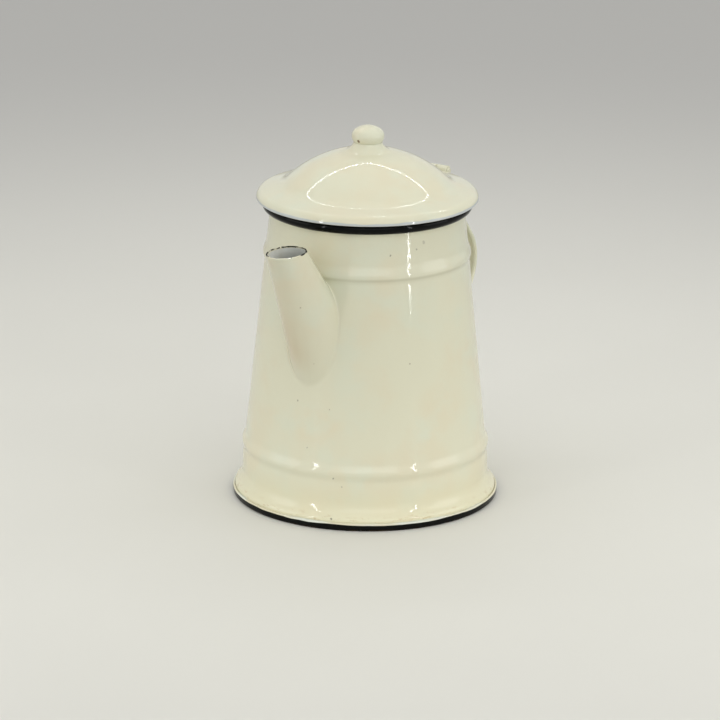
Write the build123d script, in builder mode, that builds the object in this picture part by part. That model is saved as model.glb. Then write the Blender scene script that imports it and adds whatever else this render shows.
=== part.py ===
"""Enamelled sheet-steel coffee pot with a hinged domed lid, a straight oval spout and an ear handle.

Millimetres, +Z up. The origin is the middle of the foot, on the plane that the pot stands on.
The spout points to -Y, the handle and the hinge are at +Y, and the hinge pin lies along X.
"""
from build123d import *
from math import asin, atan2, cos, degrees, radians, sin, sqrt, tan
import os

# Body wall: one tapered sheet, measured on its outside
wall = 1.0
taper_datum_z = 46.0
taper_datum_r = 56.5
taper_slope = 0.103

# Skirt and flared foot of the body
skirt_step = 0.5
skirt_top_z = 21.0
flare_reach = 3.65
flare_z = 4.0
flare_outer_r = 3.0
flare_inner_r = 8.5
flare_angle = 45.0

# Pressed beads round the body
lower_bead_z = 22.2
upper_bead_z = 116.9
bead_height = 9.0
lower_bead_proud = 1.2
upper_bead_proud = 1.05

# Curled mouth rim with a wire inside
rim_z = 144.1
curl_r = 2.5
curl_end_angle = -116.0
wire_fit = 0.05

# Bottom with its folded seam
seam_fit = 0.05
seam_height = 3.7
seam_round = 0.9
bottom_sheet = 1.0
bottom_lift = 3.2
foot_width = 3.0
foot_slope_run = 3.3

# Spout: oval tube, its sections square to its own axis
spout_elevation = 59.0
spout_mouth_reach = 27.6
spout_mouth_z = 137.2
spout_mouth_half_width = 8.4
spout_mouth_half_depth = 10.0
spout_root_station = 72.0
spout_root_half_width = 17.2
spout_root_rise = 13.1
spout_root_drop = 24.6
spout_root_shift = 5.7
spout_wall = 1.0

# Strainer holes in the wall behind the spout
strainer_hole_r = 2.0
strainer_drop = 4.0
strainer_pitch_x = 7.5
strainer_pitch_z = 8.0
strainer_rows = 5

# Handle: half-oval channel swept round an ear-shaped path
handle_top_gap = 1.2
handle_top_leg = 14.2
handle_shoulder_r = 20.0
handle_shoulder_turn = 50.0
handle_fall = 12.0
handle_knuckle_r = 18.0
handle_knuckle_turn = 65.0
handle_back_r = 60.0
handle_back_turn = 25.0
handle_tail = 34.0
handle_half_width = 10.0
handle_depth = 4.5
handle_sheet = 1.1

# Hinge on the far side from the spout
hinge_reach = 4.3
hinge_rise = 1.8
knuckle_r = 2.6
pin_r = 1.3
pin_fit = 0.02
running_fit = 0.05
hinge_half_width = 11.4
leaf_half_width = 5.4
knuckle_gap = 0.3
pin_head_r = 1.9
pin_head = 0.9
bracket_sheet = 1.2
bracket_foot_drop = 13.1
bracket_foot_height = 8.0
bracket_web_angle = 45.0

# Lid: radii, and heights above the plane that its edge lies in
lid_overhang = 2.8
lid_edge_gap = 0.2
lid_sheet = 1.0
lid_edge_straight = 0.3
lid_edge_round = 3.2
lid_flange_slope = 24.0
dome_r = 57.0
dome_rise = 24.2
dome_blend_r = 10.0

# Collar under the lid
lid_rest_gap = 0.3
collar_sheet = 0.9
collar_fit = 0.2
collar_mouth_clearance = 1.2
collar_depth = 9.0

# Leaf that joins the lid to the hinge pin
leaf_sheet = 1.2
leaf_lap = 10.7

# Boss drawn up in the middle of the lid, and the knob on it
boss_waist_r = 6.5
boss_rise = 3.2
boss_blend_r = 6.5
knob_r = 7.8
knob_foot_rise = 3.0
knob_rise = 5.15
knob_shoulder_r = 3.9
knob_seat_gap = 0.05
stem_r = 2.0
stem_fit = 0.05
stem_head_r = 3.8
stem_head = 1.2

os.makedirs("parts", exist_ok=True)


def wall_radius(z):
    """Outside radius of the tapered wall at a height."""
    return taper_datum_r - taper_slope * (z - taper_datum_z)


def save(piece, name):
    piece.part.label = name
    export_step(piece.part, f"parts/{name}.step")
    print(name, "volume", round(piece.part.volume, 1))


# Body outline, from the foot to the mouth, drawn at any depth below the outside
skirt_r = wall_radius(lower_bead_z) + skirt_step
flange_r = skirt_r + flare_reach
flange_foot_z = bottom_sheet + seam_fit
flare_lean = radians(flare_angle)
flare_centre = (flange_r - flare_outer_r, flare_z)
skirt_centre_r = skirt_r + flare_inner_r
skirt_centre_z = flare_z + (
    flare_outer_r + flare_inner_r - (skirt_centre_r - flare_centre[0]) * cos(flare_lean)
) / sin(flare_lean)
up_the_wall = Vector(-taper_slope, 1)


def bead_points(start_z, proud, inset):
    """Start, crest and end of a bead that stands out of the tapered wall."""
    crest_z = start_z + bead_height / 2
    end_z = start_z + bead_height
    start = (wall_radius(start_z) - inset, start_z)
    crest = (wall_radius(crest_z) + proud - inset, crest_z)
    end = (wall_radius(end_z) - inset, end_z)
    return start, crest, end


def draw_body_side(inset):
    """One side of the body sheet, as lines and arcs in the radius and height plane."""
    lower = bead_points(lower_bead_z, lower_bead_proud, inset)
    upper = bead_points(upper_bead_z, upper_bead_proud, inset)
    outer_arc = CenterArc(flare_centre, flare_outer_r - inset, 0, flare_angle)
    inner_arc = CenterArc(
        (skirt_centre_r, skirt_centre_z), flare_inner_r + inset, 180 + flare_angle, -flare_angle
    )
    Line((flange_r - inset, flange_foot_z), outer_arc @ 0)
    Line(outer_arc @ 1, inner_arc @ 0)
    Polyline(inner_arc @ 1, (skirt_r - inset, skirt_top_z), lower[0])
    Spline(*lower, tangents=(up_the_wall, up_the_wall))
    Line(lower[2], upper[0])
    Spline(*upper, tangents=(up_the_wall, up_the_wall))
    Line(upper[2], (wall_radius(rim_z) - inset, rim_z))


# The spout's axis, from the middle of its mouth down to where it meets the wall
spout_lean = radians(spout_elevation)
spout_up = Vector(0, -cos(spout_lean), sin(spout_lean))
spout_mouth = Vector(0, -wall_radius(spout_mouth_z) - spout_mouth_reach, spout_mouth_z)
spout_wall_station = spout_mouth_reach / (cos(spout_lean) + taper_slope * sin(spout_lean))
strainer_z = spout_mouth_z - spout_wall_station * sin(spout_lean) - strainer_drop

# Body shell: the wall, its beads, its flared foot and the curl of its mouth
curl_centre_r = wall_radius(rim_z) - wall + curl_r
curl_sweep = 180 - curl_end_angle
with BuildPart() as body_shell:
    with BuildSketch(Plane.XZ) as wall_section:
        with BuildLine():
            draw_body_side(0)
            draw_body_side(wall)
            Line((flange_r - wall, flange_foot_z), (flange_r, flange_foot_z))
            Line((wall_radius(rim_z) - wall, rim_z), (wall_radius(rim_z), rim_z))
        make_face()
    revolve(axis=Axis.Z)
    with BuildSketch(Plane.XZ) as curl_section:
        with BuildLine():
            curl_outside = CenterArc((curl_centre_r, rim_z), curl_r, curl_end_angle, curl_sweep)
            curl_inside = CenterArc((curl_centre_r, rim_z), curl_r - wall, curl_end_angle, curl_sweep)
            Line(curl_outside @ 0, curl_inside @ 0)
            Line(curl_outside @ 1, curl_inside @ 1)
        make_face()
    revolve(axis=Axis.Z)
    with Locations(Plane(origin=(0, 0, strainer_z), x_dir=(1, 0, 0), z_dir=(0, -1, 0))):
        with GridLocations(2 * strainer_pitch_x, strainer_pitch_z, 2, strainer_rows):
            Cylinder(
                strainer_hole_r, flange_r, mode=Mode.SUBTRACT,
                align=(Align.CENTER, Align.CENTER, Align.MIN),
            )
        with GridLocations(strainer_pitch_x, strainer_pitch_z, 1, strainer_rows - 1):
            Cylinder(
                strainer_hole_r, flange_r, mode=Mode.SUBTRACT,
                align=(Align.CENTER, Align.CENTER, Align.MIN),
            )
save(body_shell, "body_shell")

# Wire that stiffens the mouth, inside the curl
with BuildPart() as rim_wire:
    with BuildSketch(Plane.XZ):
        with Locations((curl_centre_r, rim_z)):
            Circle(curl_r - wall - wire_fit)
    revolve(axis=Axis.Z)
save(rim_wire, "rim_wire")

# Bottom: a raised disc whose edge folds up round the foot of the body
seam_inner_r = flange_r + seam_fit
seam_outer_r = seam_inner_r + bottom_sheet
foot_inner_r = seam_outer_r - seam_round - foot_width
bottom_slope_r = foot_inner_r - foot_slope_run
slope_shift = bottom_sheet * tan(atan2(bottom_lift, foot_slope_run) / 2)
with BuildPart() as base_plate:
    with BuildSketch(Plane.XZ):
        with BuildLine():
            Polyline(
                (0, bottom_lift),
                (bottom_slope_r, bottom_lift),
                (foot_inner_r, 0),
                (seam_outer_r - seam_round, 0),
            )
            RadiusArc((seam_outer_r - seam_round, 0), (seam_outer_r, seam_round), -seam_round)
            Line((seam_outer_r, seam_round), (seam_outer_r, seam_height - bottom_sheet / 2))
            ThreePointArc(
                (seam_outer_r, seam_height - bottom_sheet / 2),
                (seam_inner_r + bottom_sheet / 2, seam_height),
                (seam_inner_r, seam_height - bottom_sheet / 2),
            )
            Polyline(
                (seam_inner_r, seam_height - bottom_sheet / 2),
                (seam_inner_r, bottom_sheet),
                (foot_inner_r + slope_shift, bottom_sheet),
                (bottom_slope_r + slope_shift, bottom_lift + bottom_sheet),
                (0, bottom_lift + bottom_sheet),
                (0, bottom_lift),
            )
        make_face()
    revolve(axis=Axis.Z)
save(base_plate, "base_plate")

# Solid space inside the outside of the tapered wall, to trim what is welded on to it
with BuildPart() as wall_space:
    with BuildSketch(Plane.XZ):
        with BuildLine():
            draw_body_side(0)
            Polyline(
                (wall_radius(rim_z), rim_z), (0, rim_z), (0, flange_foot_z), (flange_r, flange_foot_z)
            )
        make_face()
    revolve(axis=Axis.Z)


def spout_section(station, inset):
    """Egg-shaped section of the spout, a distance down its axis from the mouth."""
    share = station / spout_root_station
    half_width = spout_mouth_half_width + (spout_root_half_width - spout_mouth_half_width) * share
    rise = spout_mouth_half_depth + (spout_root_rise - spout_mouth_half_depth) * share
    drop = spout_mouth_half_depth + (spout_root_drop - spout_mouth_half_depth) * share
    widest = (0, spout_root_shift * share)
    place = Plane(origin=spout_mouth - spout_up * station, x_dir=(1, 0, 0), z_dir=spout_up)
    with BuildSketch(place) as section:
        with BuildLine():
            EllipticalCenterArc(widest, half_width - inset, rise - inset, 0, arc_size=180)
            EllipticalCenterArc(widest, half_width - inset, drop - inset, 180, arc_size=180)
        make_face()
    return section.sketch


# Spout: a tapered egg-shaped tube, cut level at its mouth and to the wall at its root
spout_ends = (spout_root_station, -spout_mouth_half_depth)
with BuildPart() as spout:
    loft([spout_section(station, 0) for station in spout_ends], ruled=True)
    loft([spout_section(station, spout_wall) for station in spout_ends], ruled=True, mode=Mode.SUBTRACT)
    split(bisect_by=Plane.XY.offset(spout_mouth_z), keep=Keep.BOTTOM)
    add(wall_space.part, mode=Mode.SUBTRACT)
save(spout, "spout")

# Handle: a channel swept round the ear, trimmed to the wall at both ends, just under the hinge's foot
bracket_foot_z = rim_z - bracket_foot_drop
handle_top_z = bracket_foot_z - handle_depth - handle_top_gap
handle_top_reach = wall_radius(handle_top_z) + handle_top_leg
with BuildPart() as handle:
    with BuildLine(Plane.YZ) as handle_path:
        top_leg = Line((0, handle_top_z), (handle_top_reach, handle_top_z))
        shoulder = JernArc(top_leg @ 1, top_leg % 1, handle_shoulder_r, -handle_shoulder_turn)
        fall = PolarLine(shoulder @ 1, handle_fall, -handle_shoulder_turn)
        knuckle = JernArc(fall @ 1, fall % 1, handle_knuckle_r, -handle_knuckle_turn)
        back = JernArc(knuckle @ 1, knuckle % 1, handle_back_r, -handle_back_turn)
        PolarLine(
            back @ 1, handle_tail, -handle_shoulder_turn - handle_knuckle_turn - handle_back_turn
        )
    with BuildSketch(Plane(origin=(0, 0, handle_top_z), x_dir=(1, 0, 0), z_dir=(0, -1, 0))):
        with BuildLine():
            EllipticalCenterArc((0, 0), handle_half_width, handle_depth, 0, arc_size=180)
            EllipticalCenterArc(
                (0, 0), handle_half_width - handle_sheet, handle_depth - handle_sheet, 0, arc_size=180
            )
            Line((handle_half_width, 0), (handle_half_width - handle_sheet, 0))
            Line((-handle_half_width, 0), (handle_sheet - handle_half_width, 0))
        make_face()
    sweep(path=handle_path.line)
    add(wall_space.part, mode=Mode.SUBTRACT)
save(handle, "handle")

# Edge of the lid, and the hinge axis beside it
mouth_r = wall_radius(rim_z) - wall
rim_top_z = rim_z + curl_r
lid_r = curl_centre_r + curl_r + lid_overhang
lid_edge_z = rim_top_z + lid_edge_gap
hinge_y = lid_r + hinge_reach
hinge_z = lid_edge_z + hinge_rise

# Hinge bracket: a foot on the neck, a slanting web past the rim, and two knuckles round the pin
bracket_foot_top_z = bracket_foot_z + bracket_foot_height
web_lean = radians(bracket_web_angle)
with BuildPart() as hinge_bracket:
    with BuildSketch(Plane.YZ):
        with BuildLine():
            Polyline(
                (0, bracket_foot_z),
                (wall_radius(bracket_foot_z) + bracket_sheet, bracket_foot_z),
                (wall_radius(bracket_foot_top_z) + bracket_sheet, bracket_foot_top_z - bracket_sheet),
                (hinge_y + knuckle_r * sin(web_lean), hinge_z - knuckle_r * cos(web_lean)),
                (hinge_y - bracket_sheet, hinge_z - knuckle_r + bracket_sheet / 2),
                (wall_radius(bracket_foot_top_z), bracket_foot_top_z),
                (0, bracket_foot_top_z),
                close=True,
            )
        make_face()
    extrude(amount=hinge_half_width, both=True)
    with BuildSketch(Plane.YZ):
        with Locations((hinge_y, hinge_z)):
            Circle(knuckle_r)
    extrude(amount=hinge_half_width, both=True)
    with BuildSketch(Plane.YZ):
        with Locations((hinge_y, hinge_z)):
            Circle(knuckle_r + knuckle_gap)
    extrude(amount=leaf_half_width + knuckle_gap, both=True, mode=Mode.SUBTRACT)
    with BuildSketch(Plane.YZ):
        with Locations((hinge_y, hinge_z)):
            Circle(pin_r + pin_fit)
    extrude(amount=hinge_half_width, both=True, mode=Mode.SUBTRACT)
    add(wall_space.part, mode=Mode.SUBTRACT)
save(hinge_bracket, "hinge_bracket")

# Hinge pin, with a peened head at each end
head_start = hinge_half_width + pin_fit
with BuildPart() as hinge_pin:
    with BuildSketch(Plane(origin=(0, hinge_y, hinge_z))):
        with BuildLine():
            Polyline(
                (-head_start - pin_head, 0),
                (-head_start - pin_head, pin_r),
                (-head_start, pin_head_r),
                (-head_start, pin_r),
                (head_start, pin_r),
                (head_start, pin_head_r),
                (head_start + pin_head, pin_r),
                (head_start + pin_head, 0),
                close=True,
            )
        make_face()
    revolve(axis=Axis((0, hinge_y, hinge_z), (1, 0, 0)))
save(hinge_pin, "hinge_pin")

# Lid outline: a boss, a sphere's cap, a blend, a sloping flange and a rounded edge turned down
flange_lean = radians(lid_flange_slope)
edge_centre = (lid_r - lid_edge_round, lid_edge_z + lid_edge_straight)
dome_top_z = lid_edge_z + dome_rise
boss_top_z = dome_top_z + boss_rise
dome_centre_z = dome_top_z - dome_r
blend_reach = lid_edge_round + dome_blend_r
blend_start = (
    edge_centre[0] + blend_reach * sin(flange_lean),
    edge_centre[1] + blend_reach * cos(flange_lean) - dome_centre_z,
)
half_b = blend_start[0] * cos(flange_lean) - blend_start[1] * sin(flange_lean)
blend_gap = blend_start[0] ** 2 + blend_start[1] ** 2 - (dome_r + dome_blend_r) ** 2
blend_run = half_b - sqrt(half_b ** 2 - blend_gap)
blend_centre = (
    blend_start[0] - blend_run * cos(flange_lean),
    blend_start[1] + blend_run * sin(flange_lean) + dome_centre_z,
)
blend_angle = degrees(atan2(blend_centre[1] - dome_centre_z, blend_centre[0]))
boss_blend_x = boss_waist_r + boss_blend_r
boss_blend_z = dome_centre_z + sqrt((dome_r + boss_blend_r) ** 2 - boss_blend_x ** 2)
boss_angle = degrees(atan2(boss_blend_z - dome_centre_z, boss_blend_x))


def draw_lid_side(inset):
    """One side of the lid sheet, from the top of its boss to its edge; gives the boss's top corner."""
    boss_start = degrees(asin((boss_blend_z - boss_top_z + inset) / (boss_blend_r + inset)))
    boss_blend = CenterArc(
        (boss_blend_x, boss_blend_z), boss_blend_r + inset, 180 + boss_start, boss_angle - boss_start
    )
    dome = CenterArc((0, dome_centre_z), dome_r - inset, boss_angle, blend_angle - boss_angle)
    blend = CenterArc(
        blend_centre, dome_blend_r + inset, blend_angle + 180, 90 - lid_flange_slope - blend_angle
    )
    edge = CenterArc(edge_centre, lid_edge_round - inset, 90 - lid_flange_slope, lid_flange_slope - 90)
    Line((stem_r + stem_fit, boss_top_z - inset), boss_blend @ 0)
    Line(blend @ 1, edge @ 0)
    Line(edge @ 1, (lid_r - inset, lid_edge_z))
    return boss_blend @ 0


# Lid: the domed sheet, with a hole for the knob's stem in its boss
with BuildPart() as lid_shell:
    with BuildSketch(Plane.XZ):
        with BuildLine():
            boss_corner = draw_lid_side(0)
            draw_lid_side(lid_sheet)
            Line((stem_r + stem_fit, boss_top_z), (stem_r + stem_fit, boss_top_z - lid_sheet))
            Line((lid_r, lid_edge_z), (lid_r - lid_sheet, lid_edge_z))
        make_face()
    revolve(axis=Axis.Z)
save(lid_shell, "lid_shell")

# Solid space under the outside of the lid, to trim what sits on it
with BuildPart() as lid_space:
    with BuildSketch(Plane.XZ):
        with BuildLine():
            draw_lid_side(0)
            Polyline(
                (lid_r, lid_edge_z), (0, lid_edge_z), (0, boss_top_z), (stem_r + stem_fit, boss_top_z)
            )
        make_face()
    revolve(axis=Axis.Z)

# Collar: a ring that drops into the mouth, with a flange that rests on the rim
collar_outer_r = mouth_r - collar_mouth_clearance
collar_seat_z = rim_top_z + lid_rest_gap
collar_flange_r = lid_r - lid_sheet - collar_fit
with BuildPart() as lid_collar:
    with BuildSketch(Plane.XZ):
        with BuildLine():
            Polyline(
                (collar_outer_r - collar_sheet, collar_seat_z - collar_depth),
                (collar_outer_r, collar_seat_z - collar_depth),
                (collar_outer_r, collar_seat_z),
                (collar_flange_r, collar_seat_z),
                (collar_flange_r, collar_seat_z + collar_sheet),
                (collar_outer_r - collar_sheet, collar_seat_z + collar_sheet),
                close=True,
            )
        make_face()
    revolve(axis=Axis.Z)
save(lid_collar, "lid_collar")

# Leaf: a strap welded on the flange, bent level and rolled round the pin
flange_top_z = edge_centre[1] + (lid_edge_round + leaf_sheet) / cos(flange_lean)


def leaf_top(y):
    """Height of the leaf's upper face above the sloping flange."""
    return flange_top_z - (y - edge_centre[0]) * tan(flange_lean)


leaf_start_y = lid_r - leaf_lap
leaf_level_z = hinge_z + knuckle_r
leaf_level_y = edge_centre[0] + (flange_top_z - leaf_level_z) / tan(flange_lean)
with BuildPart() as lid_leaf:
    with BuildSketch(Plane.YZ):
        with BuildLine():
            Polyline(
                (leaf_start_y, leaf_top(leaf_start_y)),
                (leaf_level_y, leaf_level_z),
                (hinge_y, leaf_level_z),
                (hinge_y, leaf_level_z - leaf_sheet),
                (lid_r - lid_sheet, leaf_level_z - leaf_sheet),
                (leaf_start_y, leaf_level_z - leaf_sheet),
                close=True,
            )
        make_face()
    extrude(amount=leaf_half_width, both=True)
    with BuildSketch(Plane.YZ):
        with Locations((hinge_y, hinge_z)):
            Circle(knuckle_r)
    extrude(amount=leaf_half_width, both=True)
    with BuildSketch(Plane.YZ):
        with Locations((hinge_y, hinge_z)):
            Circle(pin_r + running_fit)
    extrude(amount=leaf_half_width, both=True, mode=Mode.SUBTRACT)
    add(lid_space.part, mode=Mode.SUBTRACT)
save(lid_leaf, "lid_leaf")

# Knob: a flattened ball on a waisted foot, with a stem that is peened over inside the lid
knob_seat_z = boss_top_z + knob_seat_gap
knob_mid_z = knob_seat_z + knob_foot_rise
knob_top_z = knob_mid_z + knob_rise
stem_head_top_z = boss_top_z - lid_sheet - knob_seat_gap
shoulder_x = knob_r - knob_shoulder_r
crown_square = knob_r ** 2 + knob_rise ** 2 - 2 * knob_r * knob_shoulder_r
crown_r = crown_square / (2 * (knob_rise - knob_shoulder_r))
crown_angle = degrees(atan2(crown_r - knob_rise, shoulder_x))
with BuildPart() as lid_knob:
    with BuildSketch(Plane.XZ):
        with BuildLine():
            CenterArc((0, knob_top_z - crown_r), crown_r, crown_angle, 90 - crown_angle)
            shoulder = CenterArc((shoulder_x, knob_mid_z), knob_shoulder_r, 0, crown_angle)
            TangentArc(shoulder @ 0, (boss_corner.X, knob_seat_z), tangent=(0, -1))
            Polyline(
                (boss_corner.X, knob_seat_z),
                (stem_r, knob_seat_z),
                (stem_r, stem_head_top_z),
                (stem_head_r, stem_head_top_z),
                (stem_r, stem_head_top_z - stem_head),
                (0, stem_head_top_z - stem_head),
                (0, knob_top_z),
            )
        make_face()
    revolve(axis=Axis.Z)
save(lid_knob, "lid_knob")
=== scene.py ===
# %% [markdown]
# # An enamelled coffee pot
# The pot is thin sheet steel, pressed, spun and welded, then coated with vitreous enamel: a layer of
# glass that is fired on. Cream glass covers it, white glass lines it, and the mouth and the foot are
# dipped in black. The frame that is loaded here holds the real sizes, so every piece below is only a
# smoother and better finished copy of a solid that is already in its place.

# %% Load the frame
from math import asin, atan2, cos, degrees, pi, radians, sin, sqrt
import bmesh
import bpy
import numpy as np
from mathutils import Matrix, Vector, noise


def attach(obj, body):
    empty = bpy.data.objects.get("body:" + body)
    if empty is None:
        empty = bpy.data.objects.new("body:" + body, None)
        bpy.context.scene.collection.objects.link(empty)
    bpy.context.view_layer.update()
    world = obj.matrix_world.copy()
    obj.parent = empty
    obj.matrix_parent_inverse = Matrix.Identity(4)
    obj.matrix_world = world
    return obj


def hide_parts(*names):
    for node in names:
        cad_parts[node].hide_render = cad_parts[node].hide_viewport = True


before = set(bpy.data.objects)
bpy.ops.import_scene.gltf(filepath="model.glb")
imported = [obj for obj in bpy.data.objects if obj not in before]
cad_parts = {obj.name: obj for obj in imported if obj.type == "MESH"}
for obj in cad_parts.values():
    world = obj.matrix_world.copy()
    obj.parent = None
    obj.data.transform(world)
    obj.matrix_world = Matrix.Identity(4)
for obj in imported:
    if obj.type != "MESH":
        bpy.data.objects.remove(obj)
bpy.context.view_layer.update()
MM = 0.001

# %% [markdown]
# ## The camera
# The photograph was taken from about two metres away with a long lens, a little above the pot. A
# camera can be placed by eye, but here its tilt, turn and roll were worked out from the pot's outline,
# so they are written as numbers and put together from simple turns.

# %% Camera
PICTURE_PX = 720
FOCAL_PX = 4553.4
SENSOR_MM = 36
camera_place_mm = Vector((1.5, -2100.96, 716.13))
camera_tilt = radians(17.21)
camera_pan = radians(-0.12)
camera_roll = radians(0.49)
camera_turn = radians(30.6)
camera_data = bpy.data.cameras.new("camera")
camera_data.sensor_width = SENSOR_MM
camera_data.lens = SENSOR_MM * FOCAL_PX / PICTURE_PX
camera = bpy.data.objects.new("camera", camera_data)
bpy.context.collection.objects.link(camera)
camera.matrix_world = (
    Matrix.Rotation(camera_turn, 4, "Z")
    @ Matrix.Translation(camera_place_mm * MM)
    @ Matrix.Rotation(-camera_pan, 4, "Z")
    @ Matrix.Rotation(pi / 2 - camera_tilt, 4, "X")
    @ Matrix.Rotation(camera_roll, 4, "Z")
)
bpy.context.scene.camera = camera
bpy.context.scene.view_settings.view_transform = "Standard"
print("lens", round(camera_data.lens, 1), "mm")


# %% [markdown]
# ## Two helpers
# Shader trees and geometry trees are built from nodes in the same way, so one small function adds a
# node of any kind, with its settings and its inputs. Colours are written as they look on a screen, in
# sRGB hex, and one function turns them into the linear values that Blender works with.

# %% Helpers for nodes and colours
def add(tree, kind, inputs=(), **settings):
    """Adds a node. An input that is a socket is linked, and any other is set as a value."""
    node = tree.nodes.new(kind)
    for name, value in settings.items():
        setattr(node, name, value)
    for key, value in dict(inputs).items():
        socket = node.inputs[key]
        if isinstance(value, bpy.types.NodeSocket):
            tree.links.new(value, socket)
        else:
            socket.default_value = value
    return node


def linear(hex_colour):
    """An sRGB hex colour as linear red, green, blue and alpha."""
    parts = [int(hex_colour[i:i + 2], 16) / 255 for i in (0, 2, 4)]
    return tuple(c / 12.92 if c <= 0.04045 else ((c + 0.055) / 1.055) ** 2.4 for c in parts) + (1.0,)


MIDDLE_GREY = "808080"
print("middle grey is", round(linear(MIDDLE_GREY)[0], 3), "of white in linear light")


# %% [markdown]
# ## Vitreous enamel
# Enamel is glass, so it is smooth, hard and glossy, with an index of refraction of about 1.52, and its
# colour comes from opaque pigment within it. It isn't perfect: the coat runs a little thicker and
# thinner as it melts, which gives faint patches of tone and a gently uneven surface like orange peel,
# and small dark pinholes where gas broke through. A plain glossy colour would look like plastic.
# Each of these is a small node pattern here, with its scale worked out from millimetres on the pot.
# A photograph wrapped round the pot would do it too, but it would hold one light and one view.

# %% Colours of the coats
CREAM = "dcdac1"
CREAM_WARM = "ddd7bc"
CREAM_COOL = "dadbc4"
# yellowed glass of the skirt, lightened a little as painted bounce light
SKIRT_YELLOW_AND_BOUNCE = "e2dcba"
# thin pale glass at the lid's edge, darkened as painted shade
PALE_EDGE_IN_SHADE = "c3c8c7"
# pale ground coat above the foot seam, whitened as a painted highlight
GROUND_COAT_AND_HIGHLIGHT = "dfe3d8"
WHITE = "e8eae6"
WHITE_STAINED = "dbd9ce"
BLACK = "090a09"
IRON = "0b0a08"
RUST = "6e5334"
DAMP_STAIN = "c2ab7e"
# painted dark reflection on the spout's lower front
TAN_REFLECTION = "cdbb9a"
# painted shade for the line under the upper bead
CREASE_SHADE = "a9a586"
FOOT_WEAR = "4b3a26"
SPECK = "4c463a"
ENAMEL_IOR = 1.52
BLACK_SPECULAR = 0.10
print("coat colours", CREAM, BLACK, WHITE)


# %% Node patterns that the coats are built from
def pattern(tree, place, size_mm, detail=2.0, roughness=0.5):
    """Soft noise whose patches are about size_mm across."""
    inputs = {"Vector": place, "Scale": 1.0 / size_mm, "Detail": detail, "Roughness": roughness}
    return add(tree, "ShaderNodeTexNoise", inputs).outputs["Fac"]


def ramp(tree, value, low, high, to_low=0.0, to_high=1.0):
    """Turns value from the range low to high into the range to_low to to_high, with soft ends."""
    inputs = {"Value": value, "From Min": low, "From Max": high, "To Min": to_low, "To Max": to_high}
    return add(tree, "ShaderNodeMapRange", inputs, interpolation_type="SMOOTHSTEP").outputs["Result"]


def mix(tree, share, first, second):
    """One colour, going over to a second as share goes from 0 to 1."""
    return add(tree, "ShaderNodeMix", {"Factor": share, 6: first, 7: second}, data_type="RGBA").outputs[2]


def maths(tree, operation, first, second=0.0):
    """One sum, in a shader tree or a geometry tree."""
    return add(tree, "ShaderNodeMath", {0: first, 1: second}, operation=operation).outputs[0]


def start_material(name):
    """A material with its surface shader and the place in millimetres that its patterns read."""
    material = bpy.data.materials.new(name)
    material.use_nodes = True
    tree = material.node_tree
    place = add(tree, "ShaderNodeTexCoord").outputs["Object"]
    millimetres = add(tree, "ShaderNodeVectorMath", {0: place, "Scale": 1 / MM}, operation="SCALE")
    return material, tree, tree.nodes["Principled BSDF"], millimetres.outputs[0]


def part_of(tree, place, axis):
    """The X, Y or Z of a place."""
    return add(tree, "ShaderNodeSeparateXYZ", {0: place}).outputs[axis]


def wander(tree, place, size_mm, reach_mm):
    """A length that goes slowly up and down by about reach_mm."""
    centred = maths(tree, "SUBTRACT", pattern(tree, place, size_mm, 3.0), 0.5)
    return maths(tree, "MULTIPLY", centred, 4 * reach_mm)


def distance(tree, place, spot):
    """How far a place is from a spot."""
    return add(tree, "ShaderNodeVectorMath", {0: place, 1: spot}, operation="DISTANCE").outputs["Value"]


# %% Cream glass, its gloss and its chips
PINHOLE_PITCH = 15.0
PINHOLE_STRENGTH = 0.45


def cream_colour(tree, place):
    """Cream glass with faint warm and cool patches and a few dark pinholes."""
    aside = add(tree, "ShaderNodeVectorMath", {0: place, 1: (80, 20, 50)}, operation="ADD").outputs[0]
    warm = ramp(tree, pattern(tree, place, 30.0, 4.0), 0.44, 0.66)
    cool = ramp(tree, pattern(tree, aside, 19.0, 4.0), 0.46, 0.70)
    colour = mix(tree, warm, linear(CREAM), linear(CREAM_WARM))
    colour = mix(tree, cool, colour, linear(CREAM_COOL))
    cells = add(tree, "ShaderNodeTexVoronoi", {
        "Vector": place, "Scale": 1 / PINHOLE_PITCH, "Randomness": 1.0})
    width = ramp(tree, pattern(tree, place, 1.2, 2.0), 0.3, 0.7, 0.012, 0.034)
    inside = maths(tree, "LESS_THAN", cells.outputs["Distance"], width)
    pinhole = maths(tree, "MULTIPLY", inside, PINHOLE_STRENGTH)
    return mix(tree, pinhole, colour, linear(RUST))


def glassy(tree, shader, place, roughness=0.035, peel=1.0):
    """Melted glass: a slow wave and a fine orange peel as bump, and a little change in gloss."""
    wave = maths(tree, "MULTIPLY", pattern(tree, place, 24.0, 1.0), 0.10 * peel)
    ripple = maths(tree, "MULTIPLY", pattern(tree, place, 2.6, 1.0), 0.055 * peel)
    bump = add(tree, "ShaderNodeBump", {
        "Height": maths(tree, "ADD", wave, ripple), "Strength": 1.0, "Distance": 1.0 * MM})
    tree.links.new(bump.outputs["Normal"], shader.inputs["Normal"])
    gloss = ramp(tree, pattern(tree, place, 9.0, 3.0), 0.3, 0.8, roughness, roughness + 0.05)
    tree.links.new(gloss, shader.inputs["Roughness"])
    shader.inputs["IOR"].default_value = ENAMEL_IOR


def chipped(tree, place, bias, size_mm):
    """1 where the coat has chipped off; bias moves the share of it up or down."""
    flaked = maths(tree, "ADD", pattern(tree, place, size_mm, 4.0, 0.6), bias)
    return ramp(tree, flaked, 0.60, 0.63)


print("node patterns are ready")
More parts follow.
